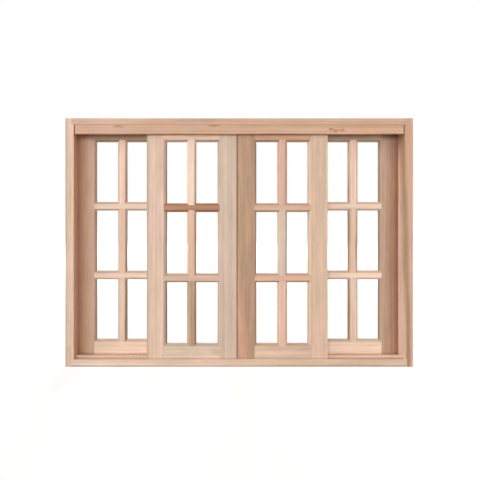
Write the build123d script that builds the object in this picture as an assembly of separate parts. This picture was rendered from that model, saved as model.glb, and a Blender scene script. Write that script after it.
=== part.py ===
"""Unglazed timber sliding window: a housed frame, two fixed sashes and two sliding sashes.

Millimetres. X runs along the window, Y runs from its front to its back and Z is up.
The origin is on the underside of the sill, at the middle of the frame.
"""
import os
from math import hypot

from build123d import *

# Outer frame
FRAME_WIDTH = 1400.0
FRAME_HEIGHT = 1000.0
FRAME_DEPTH = 120.0
JAMB_THICKNESS = 35.0
HEAD_THICKNESS = 26.0
SILL_THICKNESS = 30.0
SILL_TROUGH_DEPTH = 7.0
HOUSING_DEPTH = 10.0
FRAME_ARRIS = 4.0

# Pieces that guide and stop the sashes
FASCIA_SETBACK = 1.0
FASCIA_THICKNESS = 10.0
FASCIA_HEIGHT = 39.0
FASCIA_ARRIS = 1.5
FASCIA_END_GAP = 3.5
PARTING_BEAD_THICKNESS = 8.0
PARTING_BEAD_HEIGHT = 30.0
RUNNER_WIDTH = 12.0
RUNNER_RISE = 9.0
RUNNER_ARRIS = 1.5
REAR_STOP_HEIGHT = 12.0

# Clearances of the sliding sashes
SASH_SIDE_GAP = 5.0
SASH_FOOT_GAP = 5.0
SASH_HEAD_GAP = 6.0
RUNNER_SIDE_CLEARANCE = 1.0
RUNNER_TOP_CLEARANCE = 0.3
MEETING_GAP = 5.0

# Where the closed sliding sashes meet in front, how far their meeting faces lean to the left behind
# so that no light passes between them, and how far the sliding stiles cover the fixed ones
MEETING_OFFSET = -7.0
MEETING_SPLAY = 14.0
SASH_OVERLAP = 70.5
FIXED_EXTRA_WIDTH = 5.0

# Sash members
SASH_THICKNESS = 35.0
STILE_WIDTH = 76.0
TOP_RAIL_HEIGHT = 60.0
FIXED_BOTTOM_RAIL_HEIGHT = 60.0
SLIDING_BOTTOM_RAIL_HEIGHT = 58.0
BAR_HEIGHT = 36.0
UPRIGHT_WIDTH = 38.0
PANE_ROWS = 3
BEVEL = 8.0
REBATE_WIDTH = 9.0
REBATE_DEPTH = 12.0

# Mortise and tenon joints inside the sashes
TENON_THICKNESS = 10.0
TENON_SETBACK = 10.0
STILE_TENON_LENGTH = 40.0
BAR_TENON_LENGTH = 6.0
TENON_SHOULDER = 9.0
MORTISE_END_ROOM = 2.0

# Places worked out from the sizes above
front = -FRAME_DEPTH / 2
rear = FRAME_DEPTH / 2
jamb_face = FRAME_WIDTH / 2 - JAMB_THICKNESS
housing_end = jamb_face + HOUSING_DEPTH
sill_top = SILL_THICKNESS
trough_floor = sill_top - SILL_TROUGH_DEPTH
head_underside = FRAME_HEIGHT - HEAD_THICKNESS
fascia_front = front + FASCIA_SETBACK
fascia_back = fascia_front + FASCIA_THICKNESS
sliding_front = fascia_back + SASH_SIDE_GAP
sliding_back = sliding_front + SASH_THICKNESS
bead_front = sliding_back + SASH_SIDE_GAP
fixed_front = bead_front + PARTING_BEAD_THICKNESS
fixed_back = fixed_front + SASH_THICKNESS
runner_middle = (sliding_front + sliding_back) / 2
meeting_half = MEETING_GAP / 2 * hypot(SASH_THICKNESS, MEETING_SPLAY) / SASH_THICKNESS
sliding_width = (jamb_face + SASH_OVERLAP - meeting_half - FIXED_EXTRA_WIDTH) / 2
fixed_width = sliding_width + FIXED_EXTRA_WIDTH


def block(x_span, y_span, z_span):
    """A rectangular block between two values on each axis."""
    spans = [sorted(span) for span in (x_span, y_span, z_span)]
    centre = [(low + high) / 2 for low, high in spans]
    return Pos(*centre) * Box(*[high - low for low, high in spans])


def upright(section, bottom, top):
    """A vertical member from a section given as (across, depth) points."""
    outline = make_face(Polyline(*section, close=True))
    return extrude(Pos(0, 0, bottom) * outline, amount=top - bottom, dir=(0, 0, 1))


def crosspiece(section, left, right):
    """A horizontal member from a section given as (height, depth) points."""
    outline = make_face(Polyline(*[(depth, height) for height, depth in section], close=True))
    return extrude(Plane.YZ.offset(left) * outline, amount=right - left, dir=(1, 0, 0))


def edge_section(outer, inner, face, lean=0.0):
    """Stile or rail section: bevelled and rebated along its inner edge, square or leaning outside."""
    inward = 1 if inner > outer else -1
    rebate_face = face + SASH_THICKNESS - REBATE_DEPTH
    back = face + SASH_THICKNESS
    return [
        (outer, face),
        (inner - inward * BEVEL, face),
        (inner, face + BEVEL),
        (inner, rebate_face),
        (inner - inward * REBATE_WIDTH, rebate_face),
        (inner - inward * REBATE_WIDTH, back),
        (outer + lean, back),
    ]


def bar_section(middle, width, face):
    """Glazing bar section: bevelled in front and rebated behind on both edges."""
    near = edge_section(middle, middle - width / 2, face)
    far = edge_section(middle, middle + width / 2, face)
    return near[1:-1] + far[-2:0:-1]


def tenon_depths(face):
    """Where a tenon lies through the thickness of its sash."""
    return (face + TENON_SETBACK, face + TENON_SETBACK + TENON_THICKNESS)


def frame_board(x_span, z_span, outer_edges):
    """A frame board whose two outer arrises, front and back, are rounded."""
    board = block(x_span, (front, rear), z_span)
    return fillet(outer_edges(board), FRAME_ARRIS)


def make_frame():
    """Jambs at full height, with the head and the sill housed into them, and the sill's trough."""
    half = FRAME_WIDTH / 2
    head_span = (head_underside, FRAME_HEIGHT)
    sill_span = (0, sill_top)
    pieces = {
        "head": frame_board(
            (-housing_end, housing_end), head_span,
            lambda board: board.edges().filter_by(Axis.X).group_by(Axis.Z)[-1]),
        "sill": frame_board(
            (-housing_end, housing_end), sill_span,
            lambda board: board.edges().filter_by(Axis.X).group_by(Axis.Z)[0]),
    }
    pieces["sill"] = pieces["sill"] - block(
        (-jamb_face, jamb_face), (fascia_back, bead_front), (trough_floor, sill_top))
    for name, side in (("left_jamb", -1), ("right_jamb", 1)):
        jamb = frame_board(
            (side * jamb_face, side * half), (0, FRAME_HEIGHT),
            lambda board: board.edges().filter_by(Axis.Z).group_by(Axis.X)[0 if side < 0 else -1])
        housings = [
            block((side * jamb_face, side * housing_end), (front, rear), span)
            for span in (head_span, sill_span)
        ]
        pieces[name] = jamb - housings
    return pieces


def make_guides():
    """The boards and beads between the jambs that guide the sashes and stop them."""
    fascia_end = jamb_face - FASCIA_END_GAP
    fascia = block(
        (-fascia_end, fascia_end), (fascia_front, fascia_back),
        (head_underside - FASCIA_HEIGHT, head_underside))
    fascia_edges = fascia.edges().filter_by(Axis.X).group_by(Axis.Y)[0]
    runner = block(
        (-jamb_face, jamb_face),
        (runner_middle - RUNNER_WIDTH / 2, runner_middle + RUNNER_WIDTH / 2),
        (trough_floor, sill_top + RUNNER_RISE))
    runner_edges = runner.edges().filter_by(Axis.X).group_by(Axis.Z)[-1]
    bead = block(
        (-jamb_face, jamb_face), (bead_front, fixed_front),
        (head_underside - PARTING_BEAD_HEIGHT, head_underside))
    stop_end = jamb_face - REAR_STOP_HEIGHT
    side_stops = [
        block((side * stop_end, side * jamb_face), (fixed_back, rear), (sill_top, head_underside))
        for side in (-1, 1)
    ]
    cross_stops = [
        block((-stop_end, stop_end), (fixed_back, rear), span)
        for span in (
            (sill_top, sill_top + REAR_STOP_HEIGHT),
            (head_underside - REAR_STOP_HEIGHT, head_underside),
        )
    ]
    return {
        "head_fascia": chamfer(fascia_edges, FASCIA_ARRIS),
        "head_parting_bead": bead,
        "sill_runner": chamfer(runner_edges, RUNNER_ARRIS),
        "rear_side_stops": Compound(side_stops),
        "rear_cross_stops": Compound(cross_stops),
    }


def join_to_stiles(member, stiles, inner_edges, face, tenon_span):
    """Scribe a rail or bar to both stiles and tenon it into them. Returns member and stiles."""
    member = member - stiles
    joined = []
    for stile, inner, outward in zip(stiles, inner_edges, (-1, 1)):
        tenon_end = inner + outward * STILE_TENON_LENGTH
        mortise_end = tenon_end + outward * MORTISE_END_ROOM
        member = member + block((inner - outward * BEVEL, tenon_end), tenon_depths(face), tenon_span)
        joined.append(stile - block((inner, mortise_end), tenon_depths(face), tenon_span))
    return member, joined


def join_upright(segment, below, above, edges, face, tenon_span):
    """Scribe an upright to the members below and above it, with stub tenons into both."""
    segment = segment - [below, above]
    joined = []
    for member, edge, outward in zip((below, above), edges, (-1, 1)):
        tenon_end = edge + outward * BAR_TENON_LENGTH
        mortise_end = tenon_end + outward * MORTISE_END_ROOM
        segment = segment + block(tenon_span, tenon_depths(face), (edge - outward * BEVEL, tenon_end))
        joined.append(member - block(tenon_span, tenon_depths(face), (edge, mortise_end)))
    return segment, joined[0], joined[1]


def make_sash(left, width, bottom, top, face, bottom_rail_height, leans=(0.0, 0.0)):
    """One sash: two stiles, two rails, cross bars and the uprights between them."""
    right = left + width
    middle = left + width / 2
    inner_edges = (left + STILE_WIDTH, right - STILE_WIDTH)
    stiles = [
        upright(edge_section(left, inner_edges[0], face, leans[0]), bottom, top),
        upright(edge_section(right, inner_edges[1], face, leans[1]), bottom, top),
    ]

    # Rails and bars from the bottom up, each with the heights of its two edges
    sight_bottom = bottom + bottom_rail_height
    sight_top = top - TOP_RAIL_HEIGHT
    pane_height = (sight_top - sight_bottom - (PANE_ROWS - 1) * BAR_HEIGHT) / PANE_ROWS
    bar_middles = [
        sight_bottom + row * pane_height + (row - 0.5) * BAR_HEIGHT for row in range(1, PANE_ROWS)
    ]
    sections = [edge_section(bottom, sight_bottom, face)]
    sections += [bar_section(height, BAR_HEIGHT, face) for height in bar_middles]
    sections += [edge_section(top, sight_top, face)]
    edges = [(bottom, sight_bottom)]
    edges += [(height - BAR_HEIGHT / 2, height + BAR_HEIGHT / 2) for height in bar_middles]
    edges += [(sight_top, top)]
    members = []
    for section, (low, high) in zip(sections, edges):
        blank = crosspiece(section, left + STILE_WIDTH / 2, right - STILE_WIDTH / 2)
        member, stiles = join_to_stiles(
            blank, stiles, inner_edges, face, (low + TENON_SHOULDER, high - TENON_SHOULDER))
        members.append(member)

    # Uprights, one between each pair of cross members
    uprights = []
    for row in range(PANE_ROWS):
        blank = upright(
            bar_section(middle, UPRIGHT_WIDTH, face), sum(edges[row]) / 2, sum(edges[row + 1]) / 2)
        segment, members[row], members[row + 1] = join_upright(
            blank, members[row], members[row + 1], (edges[row][1], edges[row + 1][0]), face,
            (middle - UPRIGHT_WIDTH / 2 + TENON_SHOULDER, middle + UPRIGHT_WIDTH / 2 - TENON_SHOULDER))
        uprights.append(segment)

    return {
        "left_stile": stiles[0],
        "right_stile": stiles[1],
        "bottom_rail": members[0],
        "lower_bar": members[1],
        "upper_bar": members[2],
        "top_rail": members[3],
        "upright_bottom": uprights[0],
        "upright_middle": uprights[1],
        "upright_top": uprights[2],
    }


def make_fixed_sash(left):
    """A fixed sash, which fills the frame from the sill to the head."""
    return make_sash(
        left, fixed_width, sill_top, head_underside, fixed_front, FIXED_BOTTOM_RAIL_HEIGHT)


def make_sliding_sash(left, leans):
    """A sliding sash, which stands in the sill's trough and is grooved to ride on the runner."""
    foot = trough_floor + SASH_FOOT_GAP
    pieces = make_sash(
        left, sliding_width, foot, head_underside - SASH_HEAD_GAP, sliding_front,
        SLIDING_BOTTOM_RAIL_HEIGHT, leans)
    groove_half = RUNNER_WIDTH / 2 + RUNNER_SIDE_CLEARANCE
    groove = block(
        (left - MEETING_SPLAY, left + sliding_width),
        (runner_middle - groove_half, runner_middle + groove_half),
        (foot, sill_top + RUNNER_RISE + RUNNER_TOP_CLEARANCE))
    for name in ("left_stile", "right_stile", "bottom_rail"):
        pieces[name] = pieces[name] - groove
    return pieces


def make_window():
    """Every piece of the window, by the name of its node."""
    meeting_left = MEETING_OFFSET - meeting_half
    meeting_right = MEETING_OFFSET + meeting_half
    sashes = {
        "fixed_left": make_fixed_sash(-jamb_face),
        "sliding_left": make_sliding_sash(meeting_left - sliding_width, (0.0, -MEETING_SPLAY)),
        "sliding_right": make_sliding_sash(meeting_right, (-MEETING_SPLAY, 0.0)),
        "fixed_right": make_fixed_sash(jamb_face - fixed_width),
    }
    window = {**make_frame(), **make_guides()}
    for sash_name, pieces in sashes.items():
        for piece_name, solid in pieces.items():
            window[f"{sash_name}_{piece_name}"] = solid
    return window


os.makedirs("parts", exist_ok=True)
for node, solid in make_window().items():
    export_step(solid, f"parts/{node}.step")
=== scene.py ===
import math
from collections import namedtuple

import bpy
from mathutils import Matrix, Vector


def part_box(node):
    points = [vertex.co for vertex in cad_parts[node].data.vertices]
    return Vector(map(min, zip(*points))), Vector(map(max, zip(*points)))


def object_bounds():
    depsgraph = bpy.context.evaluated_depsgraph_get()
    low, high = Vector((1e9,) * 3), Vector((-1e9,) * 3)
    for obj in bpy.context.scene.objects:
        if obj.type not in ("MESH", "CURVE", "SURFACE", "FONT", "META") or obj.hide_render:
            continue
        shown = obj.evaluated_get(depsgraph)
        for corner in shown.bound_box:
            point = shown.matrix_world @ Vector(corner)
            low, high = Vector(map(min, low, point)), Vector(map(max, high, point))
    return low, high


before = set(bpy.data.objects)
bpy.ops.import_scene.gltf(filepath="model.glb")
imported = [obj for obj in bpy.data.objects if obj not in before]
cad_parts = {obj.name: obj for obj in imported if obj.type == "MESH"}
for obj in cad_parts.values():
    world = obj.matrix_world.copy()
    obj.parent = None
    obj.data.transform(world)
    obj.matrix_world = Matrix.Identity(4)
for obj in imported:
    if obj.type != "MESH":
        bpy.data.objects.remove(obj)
CAD_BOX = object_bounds()

bl_info = {
    "name": "Timber sliding window",
    "version": (1, 0, 0),
    "blender": (4, 5, 0),
    "location": "3D Viewport > Sidebar > Window",
    "description": "Dresses an unglazed sliding window in raw timber and sets it in a pale studio",
    "category": "Object",
}

# A board is named by its node. It has a main tone, a second tone that its streaks drift to, the way
# it was sawn from the log, how light it came out, and the stripes and marks that only it has. Some
# shades, stripes and marks are painted light and shade, as noted where they stand.
Board = namedtuple("Board", "tone streak cut shade stripes marks", defaults=("flat", 1.0, (), ()))

# A stripe runs along the whole board. It has a tone, where its middle runs across the board at the
# board's own centre, half its width, its strength, and how far it wanders across per metre along
# and per metre of depth. Lengths are in metres.
Stripe = namedtuple("Stripe", "tone across reach strength slope lean", defaults=(1.0, 0.0, 0.0))

# A mark is a soft spot. It has a tone, its place along and across from the board's centre, half its
# length and half its width, and its strength.
Mark = namedtuple("Mark", "tone along across half_length half_width strength", defaults=(1.0,))

FRAME_BOARDS = {
    "left_jamb": Board(
        "pale", "tan", "quarter", 1.05,
        # Painted shade: the apricot stripe darkens the inner face, and the grey stripe the outer arris.
        (Stripe("apricot", 0.0175, 0.004, 0.85), Stripe("weathered", -0.0295, 0.012, 1.0, 0.0, -0.2)),
    ),
    "right_jamb": Board(
        "rose", "apricot", "quarter", 1.04,
        (
            # Painted light: the blush stripe makes the inner face paler. Painted shade: the grey stripe on
            # the outer arris.
            Stripe("blush", -0.0175, 0.004, 1.0),
            Stripe("umber", 0.0050, 0.018, 1.0, -0.019, 0.3),
            Stripe("weathered", 0.0295, 0.004, 1.0, 0.0, 0.2),
        ),
        (Mark("apricot", 0.42, 0.004, 0.30, 0.030, 0.7),),
    ),
    "head": Board(
        "rose", "tan", "rift", 1.0,
        (Stripe("apricot", -0.011, 0.007, 0.7),),
        (
            # Painted light: the sand mark at the left end and the tan mark at the right make the head paler
            # at the left and darker at the right, as the light from the left falls off.
            Mark("sand", -0.52, 0.0, 0.18, 0.02, 0.6),
            Mark("wane", -0.158, 0.006, 0.20, 0.010, 0.9),
            Mark("apricot", -0.327, -0.005, 0.07, 0.008, 0.9),
            Mark("wane", 0.09, 0.010, 0.14, 0.005, 0.5),
            Mark("tan", 0.35, 0.0, 0.35, 0.02, 0.6),
            Mark("drab", 0.377, 0.005, 0.06, 0.007, 0.7),
        ),
    ),
    "sill": Board(
        "pale", "sand", "rift", 1.03,
        # Painted shade: the grey stripe on the lower arris. Painted light: the blush stripe makes the top
        # face paler.
        (Stripe("weathered", -0.015, 0.008, 1.0), Stripe("blush", 0.015, 0.003)),
        (
            # Painted light: the blush mark at the left end and the tan mark at the right make the sill
            # paler at the left and darker at the right, as the light from the left falls off.
            Mark("blush", -0.52, 0.002, 0.22, 0.020, 0.9),
            Mark("tan", 0.36, 0.0, 0.32, 0.020, 0.35),
            Mark("khaki", 0.30, -0.010, 0.50, 0.011, 0.7),
            Mark("tan", -0.40, 0.003, 0.03, 0.004, 0.4),
        ),
    ),
}

GUIDE_BOARDS = {
    "head_fascia": Board(
        "tan", "apricot", "quarter", 1.01,
        # Painted shadow: the chestnut stripe darkens the bottom edge as a shadow line under the fascia.
        (Stripe("chestnut", -0.0195, 0.005, 0.9),),
        (
            # Painted light: the rose mark at the left end and the apricot mark at the right make the fascia
            # paler at the left than at the right, as the light from the left falls off.
            Mark("rose", -0.52, 0.0, 0.16, 0.03, 0.6),
            Mark("knot", -0.488, 0.013, 0.030, 0.006, 0.75),
            Mark("knot", -0.102, 0.017, 0.034, 0.008, 0.7),
            Mark("rose", -0.214, -0.007, 0.03, 0.004, 0.6),
            Mark("knot", 0.369, 0.001, 0.012, 0.006, 0.9),
            Mark("knot", 0.388, -0.005, 0.013, 0.007, 0.9),
            Mark("knot", 0.415, -0.003, 0.016, 0.007, 0.8),
            Mark("russet", 0.392, -0.004, 0.05, 0.007, 0.5),
            Mark("apricot", 0.52, 0.0, 0.13, 0.03, 0.7),
        ),
    ),
    "head_parting_bead": Board("tan", "sand", "quarter"),
    "sill_runner": Board("sand", "pale", "quarter"),
    "rear_side_stops": Board("sand", "tan", "quarter"),
    "rear_cross_stops": Board("tan", "sand", "quarter"),
}

STILES = {
    "fixed_left_left_stile": Board(
        "sand", "tan", "rift", 0.96,
        # Painted shade: the russet stripe darkens the stile towards the jamb, and the umber stripe its
        # inner edge by the pane.
        (Stripe("russet", -0.040, 0.084, 0.9), Stripe("umber", 0.038, 0.007, 0.9)),
    ),
    "fixed_left_right_stile": Board(
        "pale", "sand", "quarter", 1.0,
        # Painted shadow: the chestnut stripe darkens the right edge, where it lies in the shadow of the
        # sliding sash.
        (Stripe("chestnut", 0.038, 0.006),),
    ),
    "sliding_left_left_stile": Board(
        "pale", "blush", "flat", 1.0,
        # The grey stripe greys the outer left arris.
        (Stripe("weathered", -0.038, 0.008, 0.8),),
    ),
    "sliding_left_right_stile": Board(
        "drab", "cream", "quarter", 1.04,
        # Painted shade: the umber stripe darkens the inner edge by the pane.
        (Stripe("umber", -0.038, 0.006),),
    ),
    "sliding_right_left_stile": Board(
        "hazel", "apricot", "quarter", 0.95,
        (Stripe("apricot", -0.053, 0.030, 1.0, -0.078),),
        (Mark("knot", -0.45, -0.045, 0.50, 0.005, 0.9),),
    ),
    "sliding_right_right_stile": Board("sand", "khaki", "flat", 1.09),
    "fixed_right_left_stile": Board("pale", "sand", "quarter"),
    "fixed_right_right_stile": Board(
        # Painted shade: the low shade and the chestnut stripe darken the stile towards the jamb, and the
        # umber stripe its inner edge by the pane.
        "sand", "tan", "rift", 0.84,
        (Stripe("chestnut", 0.040, 0.075), Stripe("umber", -0.038, 0.006, 0.8)),
    ),
}

# Painted light on the top rails of the fixed sashes: a pale band in the middle and a pink one at the
# top lighten and warm the fascia's shadow on them.
FIXED_TOP_PAINTED_LIGHT = (Stripe("blush", 0.002, 0.022, 0.7), Stripe("rose", 0.030, 0.014))

# Painted light: the bottom rails of the fixed sashes have high shades, partly for their pale timber and
# partly to make up for the shade of their recess behind the frame.
RAILS = {
    "fixed_left_top_rail": Board("tan", "khaki", "rift", 0.94, FIXED_TOP_PAINTED_LIGHT),
    "fixed_left_bottom_rail": Board("blush", "cream", "rift", 1.13),
    # Painted shadow: the russet stripe darkens the top edge under the fascia.
    "sliding_left_top_rail": Board("pale", "apricot", "rift", 1.14, (Stripe("russet", 0.030, 0.010),)),
    "sliding_left_bottom_rail": Board(
        "cream", "drab", "quarter", 1.06,
        marks=(Mark("khaki", 0.099, -0.002, 0.030, 0.016, 0.8),),
    ),
    "sliding_right_top_rail": Board("apricot", "tan", "flat", 0.95),
    "sliding_right_bottom_rail": Board("pale", "tan", "rift", 0.97, (Stripe("drab", -0.030, 0.026, 0.8),)),
    "fixed_right_top_rail": Board("khaki", "sand", "rift", 1.02, FIXED_TOP_PAINTED_LIGHT),
    "fixed_right_bottom_rail": Board("blush", "cream", "rift", 1.1),
}

# The uprights have painted shade on one flank each, apart from those of the right sliding sash.
RIGHT_FLANK_SHADE = (Stripe("umber", 0.019, 0.008),)
LEFT_FLANK_SHADE = (Stripe("umber", -0.019, 0.007, 0.9),)

BARS = {
    # Most bars of the fixed sashes are pale, partly as their timber and partly as painted light that makes
    # up for the shade of their recess behind the frame.
    "fixed_left_upper_bar": Board("blush", "cream", "quarter", 1.09),
    "fixed_left_lower_bar": Board("blush", "pale", "rift", 1.12),
    "fixed_left_upright_top": Board("blush", "rose", "quarter", 1.13, RIGHT_FLANK_SHADE),
    "fixed_left_upright_middle": Board("pale", "sand", "quarter", 1.05, RIGHT_FLANK_SHADE),
    "fixed_left_upright_bottom": Board("blush", "sand", "rift", 0.97, RIGHT_FLANK_SHADE),
    "sliding_left_upper_bar": Board("russet", "chestnut", "flat", 1.04),
    "sliding_left_lower_bar": Board("pale", "tan", "quarter", 0.94),
    "sliding_left_upright_top": Board("blush", "cream", "quarter", 1.11, RIGHT_FLANK_SHADE),
    "sliding_left_upright_middle": Board("rose", "pale", "rift", 1.09, RIGHT_FLANK_SHADE),
    "sliding_left_upright_bottom": Board("hazel", "sand", "quarter", 0.95, RIGHT_FLANK_SHADE),
    "sliding_right_upper_bar": Board("rose", "tan", "rift", 1.02),
    "sliding_right_lower_bar": Board("rose", "apricot", "quarter", 1.04),
    "sliding_right_upright_top": Board("rose", "tan", "quarter"),
    "sliding_right_upright_middle": Board("cream", "blush", "quarter"),
    "sliding_right_upright_bottom": Board("rose", "blush", "rift", 1.13),
    "fixed_right_upper_bar": Board("blush", "pale", "quarter", 1.09),
    "fixed_right_lower_bar": Board("blush", "cream", "rift", 1.2),
    "fixed_right_upright_top": Board("blush", "rose", "quarter", 1.18, LEFT_FLANK_SHADE),
    "fixed_right_upright_middle": Board(
        "pale", "rose", "quarter", 1.03, LEFT_FLANK_SHADE,
        (Mark("umber", -0.02, 0.009, 0.09, 0.005, 0.9),),
    ),
    "fixed_right_upright_bottom": Board("blush", "tan", "rift", 1.03, LEFT_FLANK_SHADE),
}

# Every board in the order of its figure. Each one's noise starts a step further on, so that no two
# boards repeat the same figure.
ALL_BOARDS = [*FRAME_BOARDS, *GUIDE_BOARDS, *STILES, *RAILS, *BARS]
FIGURE_STEP = (1.37, 0.73, 0.41)

# The middle of a noise that runs from 0 to 1, and how broken up the bands and the streaks are.
NOISE_MIDDLE = 0.5
BROKEN = {"detail": 3.0, "roughness": 0.6}

# The grain strays from the board's own line in slow bends and quick ripples. Each has a length, a
# width and how far across it reaches, in metres.
Stray = namedtuple("Stray", "length width reach")
BEND = Stray(0.55, 0.09, 0.016)
RIPPLE = Stray(0.11, 0.02, 0.004)

# Where the log's pith lies from a board's centre, across its face and behind it, in metres, and how
# far back it drifts per metre along the board.
PITH = {
    "flat": (0.012, 0.075),
    "rift": (0.110, 0.120),
    "quarter": (0.240, 0.020),
}
PITH_DRIFT = 0.012

# Growth rings: how many rings a bend moves them by, how far on they start from board to board, how
# sharply a ring ends, and its tone at which the timber keeps its lightness.
RING_BEND = 1.5
RING_STEP = 0.37
RING_SHARPNESS = 2.5
RING_MIDDLE = 0.3

# Rings are clear in patches of this length and width in metres.
CLEAR_LENGTH = 0.2
CLEAR_WIDTH = 0.03

# The width of a soft cloud in the tone, in metres.
CLOUD_WIDTH = 0.04

# The noise at which each of these begins, and at which it is there in full.
CLEAR_EDGE = (0.35, 0.65)
STREAK_EDGE = (0.42, 0.72)
HUE_EDGE = (0.3, 0.7)
PORE_EDGE = (0.62, 0.74)

# About the share of a face that pores take up, so that they leave its lightness as it was.
PORE_MIDDLE = 0.1

# The shares of red, green and blue in the two hues that streaks drift between.
YELLOW = (0.98, 1.01, 0.93)
PINK = (1.03, 0.983, 1.02)

# A mark fades out between these shares of its half length and half width, and streaks fray it.
MARK_EDGE = (0.2, 1.1)
MARK_FRAY = 0.8

# How squarely a face looks along its board to be a sawn end, and forward or back to be no moulded
# edge. Moulded edges get painted shade.
END_FACING = (0.75, 0.95)
FRONT_FACING = (0.75, 0.92)

# What fibres and rings add to the height of the grain, next to a pore's whole depth, and how
# strongly the relief shows.
FIBRE_HEIGHT = 0.7
RING_HEIGHT = 0.2
RELIEF_STRENGTH = 0.5

# Points of a board closer than this in metres are one, and faces that turn by less than this in
# degrees are one face. Edges that turn by more than the last angle are eased.
WELD_DISTANCE = 1e-5
ONE_FACE_ANGLE = 0.5
EASED_ANGLE = 28

# A softbox has a name, a width and a height, and faces the window's middle from an azimuth, an
# elevation and a distance. Lengths are in metres and angles in degrees. The studio holds its power.
Softbox = namedtuple("Softbox", "name width height azimuth elevation distance")
SOFTBOXES = (
    Softbox("front", 12.0, 6.0, -11, 9, 16.0),
    Softbox("left", 9.0, 6.0, -70, 22, 16.0),
    Softbox("right", 9.0, 6.0, 60, 16, 16.0),
    Softbox("side", 0.1, 1.6, 90, 0, 2.5),
    Softbox("back", 2.5, 2.5, 180, 18, 6.0),
)

# The floor's grey as the camera sees it and as it throws light back, and the distances in metres over
# which it goes over to plain white.
FLOOR_SEEN = 0.7
FLOOR_BOUNCE = 0.32
FLOOR_FADE = (1.5, 4.0)

# The width of the camera's sensor in millimetres.
SENSOR_WIDTH = 36.0


def tone(red, green, blue):
    """The linear colour of a tone that is written as it shows on a screen, from 0 to 255."""
    shares = (red / 255, green / 255, blue / 255)
    return tuple(s / 12.92 if s <= 0.04045 else ((s + 0.055) / 1.055) ** 2.4 for s in shares)


def tone_property(name, description, *shown):
    """A colour that a user can change, which starts as the tone that shows as these three numbers."""
    return bpy.props.FloatVectorProperty(
        name=name, description=description, subtype="COLOR", size=3, min=0, max=1, default=tone(*shown)
    )


class WindowTones(bpy.types.PropertyGroup):
    """The tones of the raw timber, from the palest sapwood to the darkest heartwood, some also laid as
    painted light and shade.
    """

    blush: tone_property("Blush", "Palest pink sapwood", 238, 208, 188)
    pale: tone_property("Pale", "Pale pink timber", 228, 196, 174)
    cream: tone_property("Cream", "Pale timber with little pink in it", 219, 196, 175)
    sand: tone_property("Sand", "Plain light timber", 219, 187, 164)
    drab: tone_property("Drab", "Light timber that has gone grey", 209, 185, 166)
    tan: tone_property("Tan", "Warm mid timber", 212, 174, 147)
    rose: tone_property("Rose", "Pink mid timber", 221, 180, 157)
    apricot: tone_property("Apricot", "Orange mid timber", 219, 171, 140)
    hazel: tone_property("Hazel", "Brown timber", 188, 153, 127)
    russet: tone_property("Russet", "Red-brown timber", 187, 139, 110)
    # Umber is the heartwood stripe of the right jamb, and is also laid as painted shade on the shaded
    # flanks and inner edges of stiles and uprights.
    umber: tone_property("Umber", "Dark stripe of heartwood", 172, 137, 106)
    # Chestnut is laid only as painted shade and shadow: under the fascia, on a stile's edge behind the
    # sliding sash, and on a stile towards the right jamb.
    chestnut: tone_property("Chestnut", "Deep red-brown timber", 160, 112, 86)
    khaki: tone_property("Khaki", "Light timber that has gone a little green", 201, 178, 148)
    wane: tone_property("Wane", "Grey-brown timber near the bark", 190, 166, 143)
    # This grey is painted shade on the rounded outer arrises of the jambs and the sill, and greys the outer
    # left arris of the left sliding stile.
    weathered: tone_property("Weathered", "Edges that have gone grey in handling", 174, 160, 142)
    knot: tone_property("Knot", "Small knots", 168, 108, 78)


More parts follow.
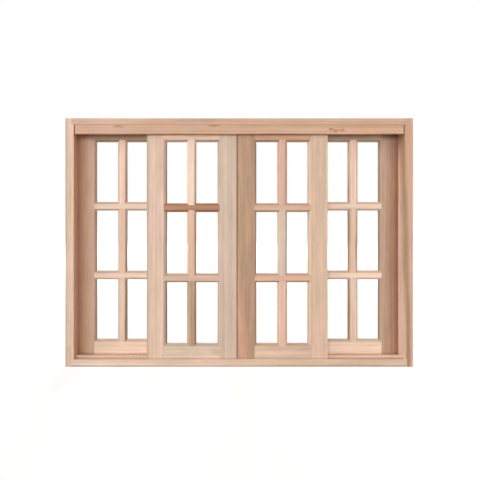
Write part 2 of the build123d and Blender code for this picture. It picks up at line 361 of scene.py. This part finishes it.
class WindowGrain(bpy.types.PropertyGroup):
    """The sizes of the grain, how strongly each part of it shows, and the finish of the timber."""

    ring: bpy.props.FloatProperty(
        name="Ring", description="Width of one growth ring", unit="LENGTH", default=0.0055
    )
    ring_depth: bpy.props.FloatProperty(
        name="Ring tone", description="How far a ring darkens", subtype="FACTOR", default=0.09
    )
    band_width: bpy.props.FloatProperty(
        name="Band width", description="Width of a band along the board", unit="LENGTH", default=0.013
    )
    band_length: bpy.props.FloatProperty(
        name="Band length", description="Length of a band along the board", unit="LENGTH", default=1.8
    )
    band_depth: bpy.props.FloatProperty(
        name="Band tone", description="How far bands differ in tone", subtype="FACTOR", default=0.58
    )
    cloud_length: bpy.props.FloatProperty(
        name="Cloud length", description="Length of a soft cloud in the tone", unit="LENGTH", default=0.14
    )
    cloud_depth: bpy.props.FloatProperty(
        name="Cloud tone", description="How far clouds differ in tone", subtype="FACTOR", default=0.28
    )
    streak_width: bpy.props.FloatProperty(
        name="Streak width", description="Width of a broad streak", unit="LENGTH", default=0.012
    )
    streak_length: bpy.props.FloatProperty(
        name="Streak length", description="Length of a broad streak", unit="LENGTH", default=0.28
    )
    streak_share: bpy.props.FloatProperty(
        name="Streak tone", description="How far streaks change in tone", subtype="FACTOR", default=0.6
    )
    streak_hue: bpy.props.FloatProperty(
        name="Streak hue", description="How far streaks differ in hue", subtype="FACTOR", default=1.0
    )
    fibre_width: bpy.props.FloatProperty(
        name="Fibre width", description="Width of a bundle of fibres", unit="LENGTH", default=0.0028
    )
    fibre_length: bpy.props.FloatProperty(
        name="Fibre length", description="Length of a bundle of fibres", unit="LENGTH", default=0.06
    )
    fibre_depth: bpy.props.FloatProperty(
        name="Fibre tone", description="How far fibres differ in tone", subtype="FACTOR", default=0.3
    )
    pore_width: bpy.props.FloatProperty(
        name="Pore width", description="Width of an open pore", unit="LENGTH", default=0.0007
    )
    pore_length: bpy.props.FloatProperty(
        name="Pore length", description="Length of an open pore", unit="LENGTH", default=0.009
    )
    pore_depth: bpy.props.FloatProperty(
        name="Pore tone", description="How far a pore darkens", subtype="FACTOR", default=0.16
    )
    end_dust: bpy.props.FloatProperty(
        name="End dust", description="How far sawn ends darken", subtype="FACTOR", default=0.16
    )
    # Painted shade: how far the moulded edges of the rails and cross bars are darkened.
    bevel_shade: bpy.props.FloatProperty(
        name="Edge dust", description="How far moulded edges darken", subtype="FACTOR", default=0.18
    )
    relief: bpy.props.FloatProperty(
        name="Relief", description="Height of the sawn grain", unit="LENGTH", default=0.0003
    )
    roughness: bpy.props.FloatProperty(
        name="Roughness", description="Roughness of the planed faces", subtype="FACTOR", default=0.62
    )
    roughness_spread: bpy.props.FloatProperty(
        name="Roughness spread", description="How far fibres vary it", subtype="FACTOR", default=0.2
    )
    gloss: bpy.props.FloatProperty(
        name="Gloss", description="How much a planed face shines", subtype="FACTOR", default=0.25
    )


class WindowArrises(bpy.types.PropertyGroup):
    """How far the sharp edges of the boards are eased."""

    ease: bpy.props.FloatProperty(
        name="Ease", description="Width of the eased edge", unit="LENGTH", default=0.0006
    )
    steps: bpy.props.IntProperty(name="Steps", description="Facets across an eased edge", default=2)


class WindowStudio(bpy.types.PropertyGroup):
    """The camera, the lamps and the floor."""

    lens: bpy.props.FloatProperty(
        name="Lens", description="Focal length in millimetres", unit="CAMERA", default=36.12
    )
    distance: bpy.props.FloatProperty(
        name="Distance", description="Camera to the front of the frame", unit="LENGTH", default=1.936
    )
    aside: bpy.props.FloatProperty(
        name="Aside", description="Camera to the right of the middle", unit="LENGTH", default=-0.166
    )
    height: bpy.props.FloatProperty(
        name="Height", description="Camera above the floor", unit="LENGTH", default=0.655
    )
    shift: bpy.props.FloatVectorProperty(
        name="Shift", description="Shift of the lens across and up", size=2, default=(0.0875, -0.075)
    )
    front: bpy.props.FloatProperty(
        name="Front", description="Power of the wide softbox in front", unit="POWER", default=1600.0
    )
    left: bpy.props.FloatProperty(
        name="Left", description="Power of the softbox on the left", unit="POWER", default=1200.0
    )
    right: bpy.props.FloatProperty(
        name="Right", description="Power of the softbox on the right", unit="POWER", default=400.0
    )
    side: bpy.props.FloatProperty(
        name="Side", description="Power of the narrow softbox at the right side", unit="POWER", default=30.0
    )
    back: bpy.props.FloatProperty(
        name="Back", description="Power of the softbox behind", unit="POWER", default=200.0
    )
    ambient: bpy.props.FloatProperty(
        name="Ambient", description="Strength of the light from all round", subtype="FACTOR", default=0.09
    )
    floor_size: bpy.props.FloatProperty(
        name="Floor", description="Side of the square floor", unit="LENGTH", default=60.0
    )
    floor_glow: bpy.props.FloatProperty(
        name="Floor white", description="White that the camera sees on the floor in shadow",
        subtype="FACTOR", default=0.6
    )


class Value:
    """A number that changes over a surface. Arithmetic on it adds Math nodes."""

    def __init__(self, figure, socket):
        self.figure = figure
        self.socket = socket

    def __add__(self, other):
        return self.figure.math("ADD", self, other)

    def __radd__(self, other):
        return self.figure.math("ADD", other, self)

    def __sub__(self, other):
        return self.figure.math("SUBTRACT", self, other)

    def __rsub__(self, other):
        return self.figure.math("SUBTRACT", other, self)

    def __mul__(self, other):
        return self.figure.math("MULTIPLY", self, other)

    def __rmul__(self, other):
        return self.figure.math("MULTIPLY", other, self)

    def __truediv__(self, other):
        return self.figure.math("DIVIDE", self, other)

    def __rtruediv__(self, other):
        return self.figure.math("DIVIDE", other, self)

    def __pow__(self, other):
        return self.figure.math("POWER", self, other)

    def __rpow__(self, other):
        return self.figure.math("POWER", other, self)

    def __mod__(self, other):
        return self.figure.math("FLOORED_MODULO", self, other)

    def __rmod__(self, other):
        return self.figure.math("FLOORED_MODULO", other, self)

    def __abs__(self):
        return self.figure.math("ABSOLUTE", self)


class Figure:
    """The nodes of one material or of the world."""

    MIX_COLOUR_A = 6
    MIX_COLOUR_B = 7
    MIX_COLOUR_RESULT = 2

    def __init__(self, owner):
        owner.use_nodes = True
        self.tree = owner.node_tree
        self.tree.nodes.clear()

    def node(self, kind, settings=None, inputs=None, output=0):
        """Adds a node: its settings first, then the values or links of its sockets."""
        made = self.tree.nodes.new(kind)
        for key, value in (settings or {}).items():
            setattr(made, key, value)
        for key, value in (inputs or {}).items():
            if isinstance(value, Value):
                self.tree.links.new(value.socket, made.inputs[key])
            else:
                made.inputs[key].default_value = value
        return Value(self, made.outputs[output]) if len(made.outputs) else made

    def math(self, operation, *values):
        """The result of one Math node."""
        return self.node("ShaderNodeMath", {"operation": operation}, dict(enumerate(values)))

    def split(self, vector):
        """The three numbers of a vector."""
        return [self.node("ShaderNodeSeparateXYZ", None, {0: vector}, axis) for axis in range(3)]

    def noise(self, along, across, depth, detail, roughness):
        """Soft noise from 0 to 1, about one unit of its three measures from crest to crest."""
        point = self.node("ShaderNodeCombineXYZ", None, {0: along, 1: across, 2: depth})
        inputs = {"Vector": point, "Scale": 1.0, "Detail": detail, "Roughness": roughness}
        return self.node("ShaderNodeTexNoise", {"noise_dimensions": "3D"}, inputs)

    def rise(self, value, start, end):
        """0 below start and 1 above end, with a smooth rise between them."""
        return self.node(
            "ShaderNodeMapRange",
            {"interpolation_type": "SMOOTHSTEP", "clamp": True},
            {"Value": value, "From Min": start, "From Max": end},
        )

    def mix(self, share, first, second):
        """The first colour, going over to the second where share is 1."""
        return self.node(
            "ShaderNodeMix",
            {"data_type": "RGBA", "blend_type": "MIX", "clamp_factor": True},
            {0: share, self.MIX_COLOUR_A: first, self.MIX_COLOUR_B: second},
            self.MIX_COLOUR_RESULT,
        )

    def scale(self, colour, factor):
        """The colour made lighter or darker by a factor that changes over the surface."""
        return self.node("ShaderNodeVectorMath", {"operation": "SCALE"}, {0: colour, "Scale": factor})

    def tint(self, colour, shares):
        """The colour with its red, green and blue each multiplied by a share."""
        return self.node("ShaderNodeVectorMath", {"operation": "MULTIPLY"}, {0: colour, 1: shares})


class Place:
    """Where a point lies on one board: along it, across it and behind its centre, in metres."""

    def __init__(self, figure, name):
        low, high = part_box(name)
        centre = (low + high) / 2
        size = high - low
        x, y, z = figure.split(figure.node("ShaderNodeTexCoord", output="Object"))
        self.figure = figure
        self.lies_flat = size.x > size.z
        if self.lies_flat:
            self.along = x - centre.x
            self.across = z - centre.z
        else:
            self.along = z - centre.z
            self.across = x - centre.x
        self.depth = y - centre.y
        self.nth = ALL_BOARDS.index(name)
        self.starts = tuple(self.nth * step for step in FIGURE_STEP)

        # The grain's own line, which strays from the board's.
        first, second, third = self.starts
        self.bend = self.noise(self.across, BEND.length, BEND.width, (first, second, third)) - NOISE_MIDDLE
        ripple = self.noise(self.across, RIPPLE.length, RIPPLE.width, (third, first, second)) - NOISE_MIDDLE
        self.strayed = self.across + self.bend * BEND.reach + ripple * RIPPLE.reach

    def noise(self, across, length, width, start=(0, 0, 0), detail=2.0, roughness=0.5):
        """Noise of this length along the board and this width across it."""
        along_start, across_start, depth_start = start
        return self.figure.noise(
            self.along / length + along_start,
            across / width + across_start,
            self.depth / width + depth_start,
            detail,
            roughness,
        )


def opaque(colour):
    """A colour with the fourth number that a colour socket takes."""
    return (*colour, 1.0)


def grey(level):
    """A grey from black at 0 to white at 1, as a colour socket takes it."""
    return opaque((level, level, level))


def growth_rings(place, cut, grain):
    """Growth rings about the pith of the log, clear in one patch and faint in another."""
    pith_across, pith_depth = PITH[cut]
    side = 1 if place.nth % 2 else -1
    across = place.strayed - side * pith_across
    depth = place.depth - pith_depth - place.along * PITH_DRIFT
    radius = (across * across + depth * depth) ** 0.5
    turn = (radius / grain.ring + place.bend * RING_BEND + place.nth * RING_STEP) % 1.0
    first, _, third = place.starts
    patch = place.noise(place.across, CLEAR_LENGTH, CLEAR_WIDTH, (third, first, 0))
    return turn ** RING_SHARPNESS * place.figure.rise(patch, *CLEAR_EDGE)


def lay_stripe(place, colour, stripe, tones):
    """The colour with a stripe laid along the whole board."""
    figure = place.figure
    off = place.strayed - stripe.across - place.along * stripe.slope - place.depth * stripe.lean
    share = (1 - figure.rise(abs(off), 0.0, stripe.reach)) * stripe.strength
    return figure.mix(share, colour, opaque(getattr(tones, stripe.tone)))


def lay_mark(place, colour, mark, tones, streak):
    """The colour with a soft spot laid on it, frayed by the streaks."""
    figure = place.figure
    off_along = (place.along - mark.along) / mark.half_length
    off_across = (place.strayed - mark.across) / mark.half_width
    off = (off_along * off_along + off_across * off_across) ** 0.5
    frayed = off + (streak - NOISE_MIDDLE) * MARK_FRAY
    share = (1 - figure.rise(frayed, *MARK_EDGE)) * mark.strength
    return figure.mix(share, colour, opaque(getattr(tones, mark.tone)))


def drift_hue(place, colour, grain):
    """The colour drifting in streaks between a yellower and a pinker hue."""
    figure = place.figure
    _, second, third = place.starts
    streak = place.noise(place.strayed, grain.streak_length, grain.streak_width, (second, third, 0))
    yellow = figure.tint(colour, YELLOW)
    pink = figure.tint(colour, PINK)
    drifted = figure.mix(figure.rise(streak, *HUE_EDGE), pink, yellow)
    return figure.mix(grain.streak_hue, colour, drifted)


def lay_end_dust_and_bevel_shade(place, colour, moulded, grain):
    """The colour made darker on sawn ends, which drink in more dust, and with painted shade on moulded
    edges.
    """
    figure = place.figure
    facing_x, facing_y, facing_z = figure.split(figure.node("ShaderNodeTexCoord", output="Normal"))
    end = figure.rise(abs(facing_x if place.lies_flat else facing_z), *END_FACING)
    colour = figure.scale(colour, 1 - end * grain.end_dust)
    if moulded:
        # Painted shade on moulded edges, on the faces that turn away from the front.
        edge = 1 - figure.rise(abs(facing_y), *FRONT_FACING)
        colour = figure.scale(colour, 1 - edge * grain.bevel_shade)
    return colour


def timber(name, board, tones, grain):
    """The raw timber of one board: rings, bands, streaks, clouds, fibres and pores along its length."""
    material = bpy.data.materials.new(name + "_timber")
    figure = Figure(material)
    place = Place(figure, name)
    strayed = place.strayed
    first, second, third = place.starts

    ring = growth_rings(place, board.cut, grain)
    band = place.noise(strayed, grain.band_length, grain.band_width, (second, third, first), **BROKEN)
    streak = place.noise(strayed, grain.streak_length, grain.streak_width, (third, first, second), **BROKEN)
    cloud = place.noise(strayed, grain.cloud_length, CLOUD_WIDTH, (first, second, third))
    fibre = place.noise(strayed, grain.fibre_length, grain.fibre_width)
    pore = figure.rise(place.noise(strayed, grain.pore_length, grain.pore_width, detail=0.0), *PORE_EDGE)

    main_tone = opaque(getattr(tones, board.tone))
    streak_tone = opaque(getattr(tones, board.streak))
    colour = figure.mix(figure.rise(streak, *STREAK_EDGE) * grain.streak_share, main_tone, streak_tone)
    for stripe in board.stripes:
        colour = lay_stripe(place, colour, stripe, tones)
    for mark in board.marks:
        colour = lay_mark(place, colour, mark, tones, streak)
    colour = drift_hue(place, colour, grain)

    lightness = (
        board.shade
        + (RING_MIDDLE - ring) * grain.ring_depth
        + (band - NOISE_MIDDLE) * grain.band_depth
        + (fibre - NOISE_MIDDLE) * grain.fibre_depth
        - (pore - PORE_MIDDLE) * grain.pore_depth
        + (cloud - NOISE_MIDDLE) * grain.cloud_depth
    )
    colour = figure.scale(colour, lightness)

    # Rails and cross bars get painted shade on their moulded edges.
    moulded = name in RAILS or (name in BARS and place.lies_flat)
    colour = lay_end_dust_and_bevel_shade(place, colour, moulded, grain)

    height = fibre * FIBRE_HEIGHT + ring * RING_HEIGHT - pore
    relief = figure.node(
        "ShaderNodeBump", None, {"Strength": RELIEF_STRENGTH, "Distance": grain.relief, "Height": height}
    )
    surface = figure.node(
        "ShaderNodeBsdfPrincipled",
        None,
        {
            "Base Color": colour,
            "Roughness": grain.roughness + (fibre - NOISE_MIDDLE) * grain.roughness_spread,
            "Specular IOR Level": grain.gloss,
            "Normal": relief,
        },
    )
    figure.node("ShaderNodeOutputMaterial", None, {"Surface": surface})
    return material


def ease_arrises(node, arrises):
    """Takes the sharpness off a board's edges, as a few strokes of fine paper do."""
    weld = node.modifiers.new("joined faces", "WELD")
    weld.merge_threshold = WELD_DISTANCE
    flat = node.modifiers.new("whole faces", "DECIMATE")
    flat.decimate_type = "DISSOLVE"
    flat.angle_limit = math.radians(ONE_FACE_ANGLE)
    ease = node.modifiers.new("eased arrises", "BEVEL")
    ease.width = arrises.ease
    ease.segments = arrises.steps
    ease.limit_method = "ANGLE"
    ease.angle_limit = math.radians(EASED_ANGLE)
    shade = node.modifiers.new("flat shading", "WEIGHTED_NORMAL")
    shade.keep_sharp = False


def dress(boards, context):
    """Gives each board its own timber and eases its arrises."""
    scene = context.scene
    for name, board in boards.items():
        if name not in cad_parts:
            raise RuntimeError(f"the window has no board named {name}")
        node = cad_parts[name]
        node.data.materials.clear()
        node.data.materials.append(timber(name, board, scene.window_tones, scene.window_grain))
        ease_arrises(node, scene.window_arrises)


class JOINERY_OT_frame_boards(bpy.types.Operator):
    """Dress the jambs, the head and the sill"""

    bl_idname = "joinery.frame_boards"
    bl_label = "Frame boards"

    def execute(self, context):
        dress(FRAME_BOARDS, context)
        return {"FINISHED"}


class JOINERY_OT_guides(bpy.types.Operator):
    """Dress the fascia, the parting bead, the runner and the stops"""

    bl_idname = "joinery.guides"
    bl_label = "Guides and stops"

    def execute(self, context):
        dress(GUIDE_BOARDS, context)
        return {"FINISHED"}


class JOINERY_OT_stiles(bpy.types.Operator):
    """Dress the stiles of the four sashes"""

    bl_idname = "joinery.stiles"
    bl_label = "Stiles"

    def execute(self, context):
        dress(STILES, context)
        return {"FINISHED"}


class JOINERY_OT_rails(bpy.types.Operator):
    """Dress the top and bottom rails of the four sashes"""

    bl_idname = "joinery.rails"
    bl_label = "Rails"

    def execute(self, context):
        dress(RAILS, context)
        return {"FINISHED"}


class JOINERY_OT_glazing_bars(bpy.types.Operator):
    """Dress the cross bars and the uprights between the panes"""

    bl_idname = "joinery.glazing_bars"
    bl_label = "Glazing bars"

    def execute(self, context):
        dress(BARS, context)
        return {"FINISHED"}


def link(name, data):
    """A new object with this data, in the scene."""
    made = bpy.data.objects.new(name, data)
    bpy.context.scene.collection.objects.link(made)
    return made


def seen_rays(figure):
    """1 for what the camera sees, directly or in gloss or glass, and 0 for light that falls on things."""
    camera, gloss, glass = (
        figure.node("ShaderNodeLightPath", output=f"Is {kind} Ray")
        for kind in ("Camera", "Glossy", "Transmission")
    )
    return figure.math("MAXIMUM", figure.math("MAXIMUM", camera, gloss), glass)


def make_floor(studio):
    """A floor that the camera sees as white, with a faint shadow of the window near it."""
    half = studio.floor_size / 2
    mesh = bpy.data.meshes.new("studio_floor")
    corners = [(-half, -half, 0), (half, -half, 0), (half, half, 0), (-half, half, 0)]
    mesh.from_pydata(corners, [], [range(len(corners))])
    floor = link("studio_floor", mesh)
    material = bpy.data.materials.new("studio_white")
    figure = Figure(material)
    x, y, _ = figure.split(figure.node("ShaderNodeTexCoord", output="Object"))
    far = figure.rise((x * x + y * y) ** 0.5, *FLOOR_FADE)
    seen = seen_rays(figure)
    glow = seen * (studio.floor_glow + far * (1 - studio.floor_glow))
    surface = figure.node(
        "ShaderNodeBsdfPrincipled",
        None,
        {
            "Base Color": figure.mix(seen, grey(FLOOR_BOUNCE), grey(FLOOR_SEEN)),
            "Roughness": 1.0,
            "Specular IOR Level": 0.0,
            "Emission Color": figure.mix(glow, grey(0), grey(1)),
            "Emission Strength": 1.0,
        },
    )
    figure.node("ShaderNodeOutputMaterial", None, {"Surface": surface})
    mesh.materials.append(material)


def make_world(studio):
    """Dim light from all round, which the camera sees as plain white."""
    world = bpy.data.worlds.new("studio_air")
    bpy.context.scene.world = world
    figure = Figure(world)
    light = figure.node("ShaderNodeBackground", None, {"Color": grey(1), "Strength": studio.ambient})
    white = figure.node("ShaderNodeBackground", None, {"Color": grey(1), "Strength": 1.0})
    surface = figure.node("ShaderNodeMixShader", None, {0: seen_rays(figure), 1: light, 2: white})
    figure.node("ShaderNodeOutputWorld", None, {"Surface": surface})


def make_softbox(softbox, power):
    """A softbox of this power that faces the window's middle."""
    name = softbox.name + "_softbox"
    lamp = bpy.data.lights.new(name, "AREA")
    lamp.shape = "RECTANGLE"
    lamp.energy = power
    lamp.size = softbox.width
    lamp.size_y = softbox.height
    placed = link(name, lamp)
    turn = math.radians(softbox.azimuth)
    lift = math.radians(softbox.elevation)
    outward = Vector((math.sin(turn) * math.cos(lift), -math.cos(turn) * math.cos(lift), math.sin(lift)))
    low, high = CAD_BOX
    placed.location = (low + high) / 2 + outward * softbox.distance
    placed.rotation_euler = (-outward).to_track_quat("-Z", "Y").to_euler()
    placed.visible_camera = False


def make_camera(studio):
    """The camera in front of the window, level, with its lens shifted to frame it."""
    low, _ = CAD_BOX
    lens = bpy.data.cameras.new("studio_camera")
    lens.lens = studio.lens
    lens.sensor_width = SENSOR_WIDTH
    lens.shift_x, lens.shift_y = studio.shift
    camera = link("studio_camera", lens)
    camera.location = (studio.aside, low.y - studio.distance, studio.height)
    camera.rotation_euler = (math.pi / 2, 0, 0)
    bpy.context.scene.camera = camera


class JOINERY_OT_stage(bpy.types.Operator):
    """Set the window on a pale floor in soft light, with the camera in front"""

    bl_idname = "joinery.stage"
    bl_label = "Studio"

    def execute(self, context):
        studio = context.scene.window_studio
        context.scene.view_settings.view_transform = "Standard"
        make_floor(studio)
        make_world(studio)
        for softbox in SOFTBOXES:
            make_softbox(softbox, getattr(studio, softbox.name))
        make_camera(studio)
        return {"FINISHED"}


class VIEW3D_PT_sliding_window(bpy.types.Panel):
    """The steps that dress the window, and the values that they read"""

    bl_label = "Sliding window"
    bl_space_type = "VIEW_3D"
    bl_region_type = "UI"
    bl_category = "Window"

    def draw(self, context):
        for step in STEPS:
            self.layout.operator(step.bl_idname)
        for settings in SETTINGS:
            box = self.layout.box()
            values = getattr(context.scene, settings)
            for key in values.__annotations__:
                box.prop(values, key)


STEPS = (
    JOINERY_OT_frame_boards,
    JOINERY_OT_guides,
    JOINERY_OT_stiles,
    JOINERY_OT_rails,
    JOINERY_OT_glazing_bars,
    JOINERY_OT_stage,
)
SETTINGS = {
    "window_tones": WindowTones,
    "window_grain": WindowGrain,
    "window_arrises": WindowArrises,
    "window_studio": WindowStudio,
}
CLASSES = (*SETTINGS.values(), *STEPS, VIEW3D_PT_sliding_window)


def register():
    """Adds the steps, the panel and the values to Blender."""
    for made in CLASSES:
        bpy.utils.register_class(made)
    for name, settings in SETTINGS.items():
        setattr(bpy.types.Scene, name, bpy.props.PointerProperty(type=settings))


def unregister():
    """Takes the values, the panel and the steps out of Blender."""
    for name in SETTINGS:
        delattr(bpy.types.Scene, name)
    for made in reversed(CLASSES):
        bpy.utils.unregister_class(made)


def main():
    """Dresses the window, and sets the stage."""
    register()
    bpy.ops.joinery.frame_boards()
    bpy.ops.joinery.guides()
    bpy.ops.joinery.stiles()
    bpy.ops.joinery.rails()
    bpy.ops.joinery.glazing_bars()
    bpy.ops.joinery.stage()


if __name__ == "__main__":
    main()
